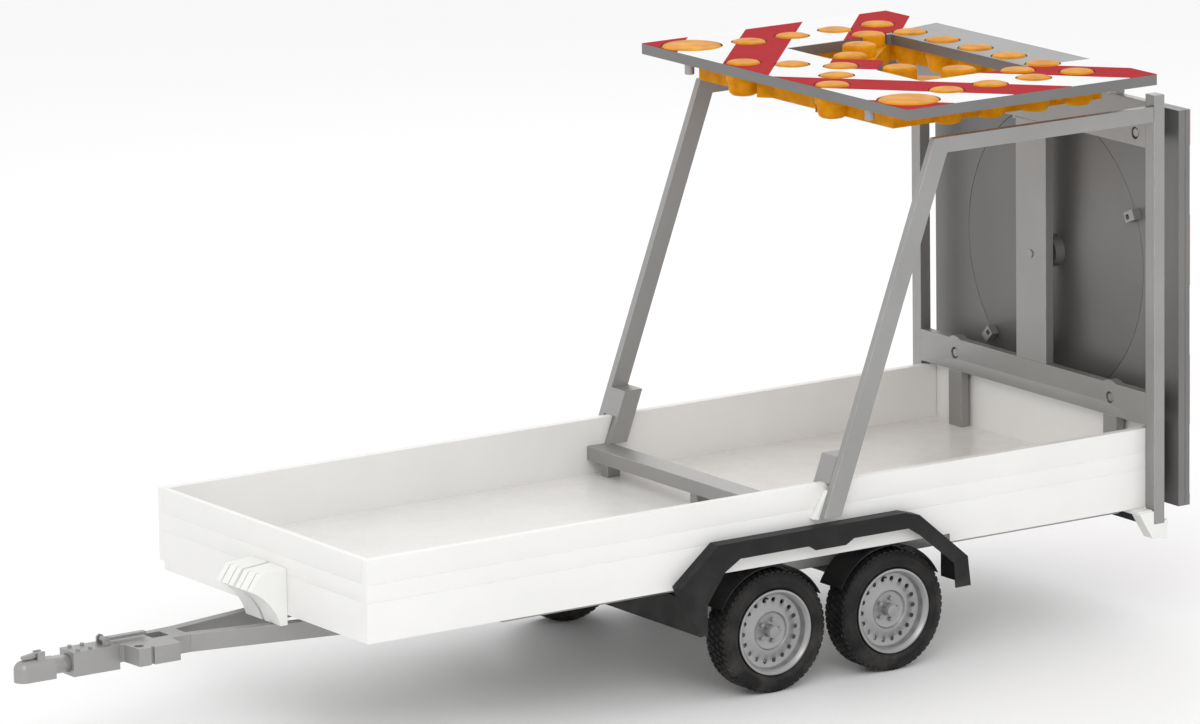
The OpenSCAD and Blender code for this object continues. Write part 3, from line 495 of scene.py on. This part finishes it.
# One copy of an object on each vertex of the carrier, sized by the vertex's "size"
# and turned by its "turn"
def copyTree():
    tree, given, result = newTree("copies", [("Shape", "Object"), ("Finish", "Material")])
    shape = treeNode(tree, "GeometryNodeObjectInfo", inputs={"Object": given.outputs["Shape"]})
    size = treeNode(tree, "GeometryNodeInputNamedAttribute", {"data_type": "FLOAT_VECTOR"}, {"Name": "size"})
    turn = treeNode(tree, "GeometryNodeInputNamedAttribute", {"data_type": "FLOAT_VECTOR"}, {"Name": "turn"})
    placed = treeNode(tree, "GeometryNodeInstanceOnPoints", inputs={
        "Points": given.outputs["Geometry"],
        "Instance": shape.outputs["Geometry"],
        "Rotation": turn.outputs["Attribute"],
        "Scale": size.outputs["Attribute"],
    })
    real = treeNode(tree, "GeometryNodeRealizeInstances", inputs={"Geometry": placed.outputs[0]})
    painted = treeNode(tree, "GeometryNodeSetMaterial", inputs={
        "Geometry": real.outputs[0], "Material": given.outputs["Finish"]})
    tree.links.new(painted.outputs[0], result.inputs[0])
    return tree


copies = copyTree()


def pointMesh(places, sizes, turns):
    mesh = bpy.data.meshes.new("places")
    mesh.from_pydata([tuple(p) for p in places], [], [])
    for name, values in (("size", sizes), ("turn", turns)):
        layer = mesh.attributes.new(name, "FLOAT_VECTOR", "POINT")
        layer.data.foreach_set("vector", [x for value in values for x in value])
    return mesh


def copyShape(shapeMesh, places, sizes, turns, slotName):
    shape = bpy.data.objects.new("shape", shapeMesh)
    bpy.context.scene.collection.objects.link(shape)
    values = {"Shape": shape, "Finish": finishes[slotName]}
    mesh = grow(copies, pointMesh(places, sizes, turns), values)
    bpy.data.objects.remove(shape)
    return mesh


# A ring of vertices for each profile point (radius, height), turned about local Z
def spunMesh(profile, steps, name, closed=False, sharpAngle=24):
    bm = bmesh.new()
    rings = []
    for radius, height in profile:
        if radius < 1e-6:
            rings.append([bm.verts.new((0, 0, height))])
            continue
        angles = [2 * math.pi * k / steps for k in range(steps)]
        rings.append([bm.verts.new((radius * math.cos(a), radius * math.sin(a), height)) for a in angles])
    pairs = list(zip(rings, rings[1:])) + ([(rings[-1], rings[0])] if closed else [])
    for low, high in pairs:
        for k in range(steps):
            n = (k + 1) % steps
            corners = [low[k % len(low)], low[n % len(low)], high[n % len(high)], high[k % len(high)]]
            corners = list(dict.fromkeys(corners))
            if len(corners) > 2:
                bm.faces.new(corners)
    bmesh.ops.recalc_face_normals(bm, faces=bm.faces)
    return closeMesh(bm, name, sharpAngle)


def joined(name, parts):  # parts: (mesh, matrix)
    bm = bmesh.new()
    for mesh, matrix in parts:
        moved = mesh.copy()
        moved.transform(matrix)
        if matrix.determinant() < 0:
            moved.flip_normals()
        bm.from_mesh(moved)
        bpy.data.meshes.remove(moved)
    mesh = bpy.data.meshes.new(name)
    bm.to_mesh(mesh)
    bm.free()
    return mesh


def roundedBox(low, high, radius, segments=2):
    bm = bmesh.new()
    bmesh.ops.create_cube(bm, size=1)
    size = [b - a for a, b in zip(low, high)]
    middle = [(a + b) / 2 for a, b in zip(low, high)]
    bmesh.ops.scale(bm, vec=size, verts=bm.verts)
    bmesh.ops.translate(bm, vec=middle, verts=bm.verts)
    bmesh.ops.bevel(bm, geom=bm.edges[:], offset=radius, segments=segments, profile=0.5, affect="EDGES")
    return closeMesh(bm, "box")


# ---- lamps: round stems with a soft pillow top, and the cups they stand in ----
lampSet = {"foot": 0.97, "shoulder": 0.24, "bendLow": 0.70, "bendTop": 0.93, "bends": 7, "steps": 48}


def lensMesh(v):  # unit radius and unit height, scaled on each lamp
    profile = [(v["foot"], 0.0), (1.0, 0.03)]
    for k in range(v["bends"]):
        a = math.radians(90 * k / (v["bends"] - 1))
        radius = 1 - v["shoulder"] * (1 - math.cos(a))
        profile.append((radius, v["bendLow"] + (v["bendTop"] - v["bendLow"]) * math.sin(a)))
    profile += [(0.5, 0.975), (0.25, 0.994), (0.0, 1.0)]
    return spunMesh(profile, v["steps"], "lens", sharpAngle=40)


def solidBoxes(node):
    bm = cadCopy(node)
    boxes = []
    for group in islands(bm):
        low = Vector(map(min, *(v.co for v in group)))
        high = Vector(map(max, *(v.co for v in group)))
        boxes.append((low, high))
    bm.free()
    return sorted(boxes, key=lambda b: (round(b[0].x, 3), round(b[0].y, 3)))


def makeLamps(node):
    boxes = solidBoxes(node)
    places = [((a.x + b.x) / 2, (a.y + b.y) / 2, a.z) for a, b in boxes]
    sizes = [((b.x - a.x) / 2, (b.y - a.y) / 2, b.z - a.z) for a, b in boxes]
    mesh = copyShape(lensMesh(lampSet), places, sizes, [(0, 0, 0)] * len(boxes), "amber_plastic")
    addPiece(camel(node), mesh, bodyOf[node], slotOf[node], [node])


makeLamps("small_lenses")
makeLamps("large_lenses")

cupSet = {"widen": 1.0, "drop": 0.010, "top": 0.002, "steps": 40,
          "profile": [(0, 0), (0.45, 0.012), (0.66, 0.05), (0.80, 0.14), (0.86, 0.30), (0.90, 0.62),
                      (0.96, 0.66), (1, 0.72), (1, 1), (0, 1)]}


def makeCups(v):
    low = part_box("lens_tray")[0].z - v["drop"]
    places, sizes = [], []
    for a, b in solidBoxes("small_lenses"):
        places.append(((a.x + b.x) / 2, (a.y + b.y) / 2, low))
        radius = (b.x - a.x) / 2 * v["widen"]
        sizes.append((radius, radius, a.z - v["top"] - low))
    cup = spunMesh(v["profile"], v["steps"], "cup", sharpAngle=40)
    mesh = copyShape(cup, places, sizes, [(0, 0, 0)] * len(places), "amber_plastic")
    addPiece("lampCups", mesh, "board", "amber_plastic")


makeCups(cupSet)
print("lamps made")


# ---- tyres: carcass with a rounded shoulder, tread blocks and side rings ----
tyreSet = {
    "beadIn": 0.013, "steps": 120, "ribHeight": 0.0016,
    "blocks": 54, "blockDepth": 0.007, "rows": (-0.058, -0.0195, 0.0195, 0.058),
    "lugs": 54,
}


def tyreCarcass(v, r, h, bead):
    tread = r - v["blockDepth"]
    half = [(bead, h - 0.030), (bead + 0.014, h - 0.026), (bead + 0.026, h - 0.010)]
    half += [(bead + 0.034, h - 0.003)]
    for k in range(3):  # raised rings on the side wall
        at = bead + 0.040 + 0.008 * k
        half += [(at, h - 0.0018), (at + 0.002, h - 0.0002), (at + 0.004, h - 0.0018)]
    half += [(bead + 0.070, h - 0.004), (tread - 0.012, h - 0.013), (tread - 0.003, h - 0.024),
             (tread, h - 0.036), (tread, 0.0)]
    other = [(radius, -height) for radius, height in reversed(half[:-1])]
    return spunMesh(half + other, v["steps"], "carcass", closed=True, sharpAngle=35)


def treadBlock(long, wide, deep, skew):
    bm = bmesh.new()
    corners = [(-long / 2, -wide / 2), (long / 2, -wide / 2), (long / 2, wide / 2), (-long / 2, wide / 2)]
    base = [bm.verts.new((x + skew * y, y, -0.004)) for x, y in corners]
    top = [bm.verts.new((x * 0.86 + skew * y, y * 0.9, deep)) for x, y in corners]
    bm.faces.new(reversed(base))
    bm.faces.new(top)
    for k in range(4):
        n = (k + 1) % 4
        bm.faces.new((base[k], base[n], top[n], top[k]))
    return closeMesh(bm, "block")


def ringOf(shape, count, radius, across, tilt, shift, slotName):
    places, turns = [], []
    for k in range(count):
        a = 2 * math.pi * (k + shift) / count
        places.append((radius * math.sin(a), across, radius * math.cos(a)))
        lean = Matrix.Rotation(a, 3, "Y") @ Matrix.Rotation(tilt, 3, "X")
        turns.append(tuple(lean.to_euler()))
    return copyShape(shape, places, [(1, 1, 1)] * count, turns, slotName)


def makeTyre(side, end, v):
    node = side + "_" + end + "_tyre"
    low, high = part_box(node)
    centre = (low + high) / 2
    r, h = (high.z - low.z) / 2, (high.y - low.y) / 2
    rimLow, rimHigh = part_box(side + "_" + end + "_rim")
    bead = (rimHigh.z - rimLow.z) / 2 - v["beadIn"]
    upright = Matrix.Rotation(math.radians(90), 4, "X")
    parts = [(tyreCarcass(v, r, h, bead), upright)]
    pitch = 2 * math.pi * r / v["blocks"]
    block = treadBlock(pitch * 0.78, 0.031, v["blockDepth"] - 0.0008, 0.25)
    for k, across in enumerate(v["rows"]):
        ring = ringOf(block, v["blocks"], r - v["blockDepth"], across, 0, k * 0.5, "tyre")
        parts.append((ring, Matrix()))
    lug = treadBlock(pitch * 0.55, 0.026, 0.005, 0.0)
    for s in (-1, 1):
        ring = ringOf(lug, v["lugs"], r - 0.021, s * (h - 0.0175), -s * math.radians(52), 0.25, "tyre")
        parts.append((ring, Matrix()))
    mesh = joined(camel(node), parts)
    mesh.transform(Matrix.Translation(centre))
    addPiece(camel(node), mesh, bodyOf[node], "tyre", [node])


for side in ("left", "right"):
    for end in ("front", "rear"):
        makeTyre(side, end, tyreSet)
print("tyres made")


# ---- valve stems on the rims ----
valveSet = {"radius": 0.004, "length": 0.038, "out": 0.176, "angle": 100}


def makeValves(v):
    stem = [(0, 0), (1.5, 0), (1.5, 0.2), (1, 0.32), (1, 0.62), (1.25, 0.64), (1.25, 0.97), (1.1, 1), (0, 1)]
    profile = [(x * v["radius"], y * v["length"]) for x, y in stem]
    for side, s in (("left", -1), ("right", 1)):
        for end in ("front", "rear"):
            low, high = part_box(side + "_" + end + "_rim")
            centre = (low + high) / 2
            a = math.radians(v["angle"])
            face = (low.y if s < 0 else high.y) - s * 0.060
            spot = (centre.x + v["out"] * math.cos(a), face, centre.z + v["out"] * math.sin(a))
            mesh = spunMesh(profile, 16, side + end.capitalize() + "Valve")
            mesh.transform(Matrix.Translation(spot) @ Matrix.Rotation(math.radians(-90 * s), 4, "X"))
            addPiece(mesh.name, mesh, side + "_" + end + "_wheel", "black_plastic")


makeValves(valveSet)


# ---- sign disc: white border and a plain slanting arrow on its rear face ----
arrowSet = {"lift": 0.0012, "border": (0.715, 0.735), "shaft": 0.075, "head": 0.26, "reach": 0.56,
            "angle": -135}


def discMarks(v):
    low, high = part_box("sign_disc")
    y, z = (low.y + high.y) / 2, (low.z + high.z) / 2
    x0, x1 = high.x - 0.0004, high.x + v["lift"]
    bm = bmesh.new()
    steps = 96
    inner, outer = v["border"]
    ring = [[bm.verts.new((x, r * math.cos(2 * math.pi * k / steps), r * math.sin(2 * math.pi * k / steps)))
             for k in range(steps)] for x, r in ((x0, inner), (x1, inner), (x1, outer), (x0, outer))]
    for a, b in zip(ring, ring[1:] + ring[:1]):
        for k in range(steps):
            n = (k + 1) % steps
            bm.faces.new((a[k], a[n], b[n], b[k]))
    s, h, reach = v["shaft"], v["head"], v["reach"]
    outline = [(-reach, -s), (reach - h, -s), (reach - h - 0.05, -h), (reach, 0), (reach - h - 0.05, h),
               (reach - h, s), (-reach, s)]
    turn = Matrix.Rotation(math.radians(v["angle"]), 2)
    flat = [turn @ Vector(p) for p in outline]
    back = [bm.verts.new((x0, p.x, p.y)) for p in flat]
    face = [bm.verts.new((x1, p.x, p.y)) for p in flat]
    bm.faces.new(back)
    bm.faces.new(face)
    for k in range(len(flat)):
        n = (k + 1) % len(flat)
        bm.faces.new((back[k], back[n], face[n], face[k]))
    bmesh.ops.translate(bm, vec=(0, y, z), verts=bm.verts)
    bmesh.ops.recalc_face_normals(bm, faces=bm.faces)
    addPiece("discArrow", closeMesh(bm, "discArrow"), "disc", "white_film")


discMarks(arrowSet)


# ---- rear lamps: ribbed lens blocks in black housings ----
rearLampSet = {
    "rim": 0.008,
    "ribs": 9,
    "ribDepth": 0.004,
    "lenses": ((0.0, 0.45, "lamp_red"), (0.47, 0.74, "amber_plastic"), (0.76, 1.0, "lamp_red")),
}


def makeRearLamps(v):
    housings = []
    for low, high in solidBoxes("tail_lamps"):
        side = "left" if low.y < 0 else "right"
        inset = Vector((v["rim"] * 0.5, 0, 0))
        housings.append((roundedBox(low, high - inset, 0.008), Matrix()))
        x0, x1 = high.x - v["rim"], high.x
        z0, z1 = low.z + v["rim"], high.z - v["rim"]
        wide = high.y - low.y - 2 * v["rim"]
        for index, (start, stop, slotName) in enumerate(v["lenses"]):
            y0, y1 = low.y + v["rim"] + start * wide, low.y + v["rim"] + stop * wide
            step = (z1 - z0) / v["ribs"]
            rib = roundedBox((0, y0, 0.1 * step), (v["ribDepth"], y1, 0.9 * step), 0.0012, 1)
            places = [(x1 - v["ribDepth"], 0, z0 + k * step) for k in range(v["ribs"])]
            count = len(places)
            ribs = copyShape(rib, places, [(1, 1, 1)] * count, [(0, 0, 0)] * count, slotName)
            block = roundedBox((x0, y0, z0), (x1 - v["ribDepth"] * 0.6, y1, z1), 0.002)
            name = side + "RearLens" + "ABC"[index]
            addPiece(name, joined(name, [(ribs, Matrix()), (block, Matrix())]), "trailer", slotName)
    addPiece("tailLamps", joined("tailLamps", housings), "trailer", "black_plastic", ["tail_lamps"])


makeRearLamps(rearLampSet)

for node in nodes:
    if node not in made:
        finishNode(node)
print("structure finished")
